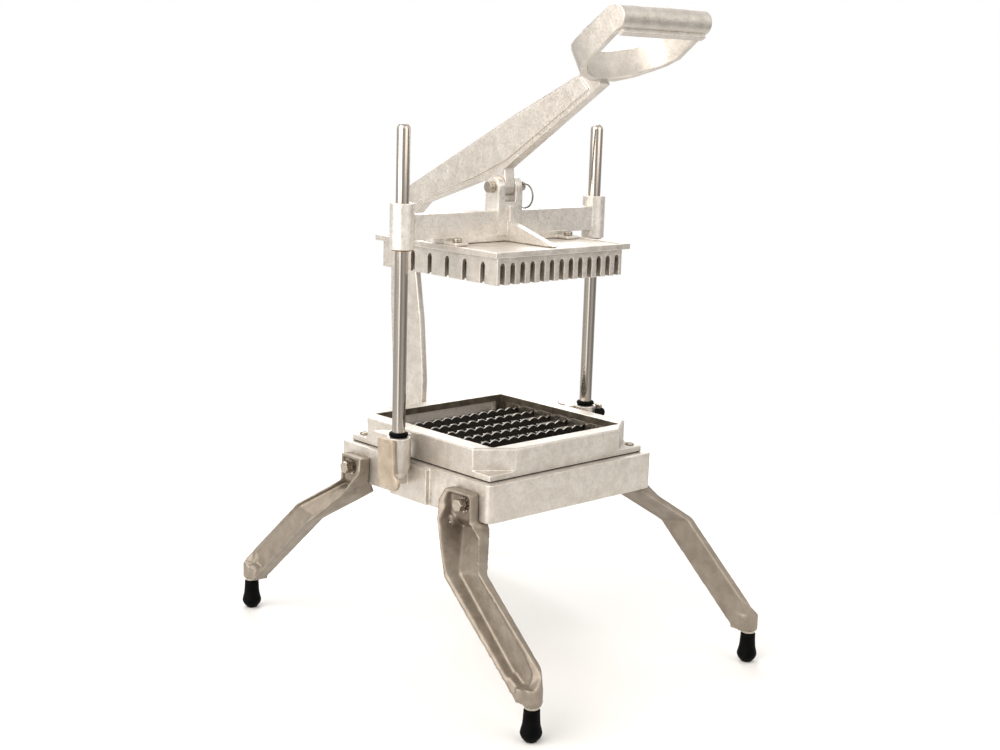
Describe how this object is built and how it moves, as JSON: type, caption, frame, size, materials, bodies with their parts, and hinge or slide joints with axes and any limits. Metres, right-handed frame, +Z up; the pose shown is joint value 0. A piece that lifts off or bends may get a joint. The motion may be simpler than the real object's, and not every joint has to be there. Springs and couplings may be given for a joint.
{
  "type": "vegetable cutter",
  "caption": "Counter-top lever press with a D-grip handle, guide rods, a fingered push block, a square grid of scalloped blades and splayed legs.",
  "frame": {"origin": "centre of the footprint, on the surface that the boots stand on", "axes": "+Z up, X from rod to rod, -Y toward the operator and the grip"},
  "size_m": [0.3206, 0.4572, 0.6315],
  "materials": {
    "cast_aluminium": "satin, tumbled casting with brighter edges",
    "polished_steel": "polished rod",
    "blade_steel": "ground strip with bright edge",
    "zinc_steel": "plated fastener",
    "black_rubber": "matte",
    "black_plastic": "matte",
    "bronze": "plain bearing"
  },
  "bodies": {
    "frame": {"base_frame": "cast_aluminium", "leg_front_left": "cast_aluminium", "leg_bolt_front_left": "zinc_steel", "lock_washer_front_left": "zinc_steel", "foot_stud_front_left": "zinc_steel", "foot_boot_front_left": "black_rubber", "leg_front_right": "cast_aluminium", "leg_bolt_front_right": "zinc_steel", "lock_washer_front_right": "zinc_steel", "foot_stud_front_right": "zinc_steel", "foot_boot_front_right": "black_rubber", "leg_rear_left": "cast_aluminium", "leg_bolt_rear_left": "zinc_steel", "lock_washer_rear_left": "zinc_steel", "foot_stud_rear_left": "zinc_steel", "foot_boot_rear_left": "black_rubber", "leg_rear_right": "cast_aluminium", "leg_bolt_rear_right": "zinc_steel", "lock_washer_rear_right": "zinc_steel", "foot_stud_rear_right": "zinc_steel", "foot_boot_rear_right": "black_rubber", "guide_rod_left": "polished_steel", "rod_bumper_left": "black_rubber", "guide_rod_right": "polished_steel", "rod_bumper_right": "black_rubber", "blade_holder": "cast_aluminium", "holder_screw_front_right": "zinc_steel", "holder_screw_rear_left": "zinc_steel", "fine_blade_set": "blade_steel", "blade_bar_left": "zinc_steel", "blade_bar_right": "zinc_steel", "coarse_blade_1": "blade_steel", "coarse_blade_2": "blade_steel", "coarse_blade_3": "blade_steel", "coarse_blade_4": "blade_steel", "coarse_blade_5": "blade_steel", "coarse_blade_6": "blade_steel"},
    "knob": {"clamp_knob": "black_plastic"},
    "carriage": {"push_block": "cast_aluminium", "crosshead": "cast_aluminium", "rod_bush_left": "bronze", "rod_bush_right": "bronze", "block_screw_front_left": "zinc_steel", "block_screw_front_right": "zinc_steel", "block_screw_rear_left": "zinc_steel", "block_screw_rear_right": "zinc_steel", "clevis_pin": "zinc_steel", "ring_cotter": "polished_steel"},
    "handle": {"handle": "cast_aluminium"},
    "link": {"link": "cast_aluminium", "link_pin": "zinc_steel", "link_clip": "zinc_steel", "hinge_pin": "zinc_steel", "hinge_washer": "zinc_steel"}
  },
  "joints": [
    {"name": "carriage_slide", "type": "slide", "parent": "frame", "child": "carriage", "axis": [0, 0, 1], "range_m": [-0.173, 0.008]},
    {"name": "handle_swing", "type": "hinge", "parent": "carriage", "child": "handle", "pos_m": [0, 0, 0.463], "axis": [1, 0, 0], "range_deg": [-3, 63.5]},
    {"name": "link_swing", "type": "hinge", "parent": "handle", "child": "link", "pos_m": [0, 0.153, 0.403], "axis": [1, 0, 0], "range_deg": [-56.4, 2.7]},
    {"name": "knob_turn", "type": "hinge", "parent": "frame", "child": "knob", "pos_m": [0.1345, -0.012, 0.2216], "axis": [0, -1, 0], "range_deg": [0, 180]}
  ],
  "couplings": [
    {"joint": "handle_swing", "follows": "carriage_slide", "rad_per_m": -6.4},
    {"joint": "link_swing", "follows": "carriage_slide", "rad_per_m": 5.68}
  ]
}
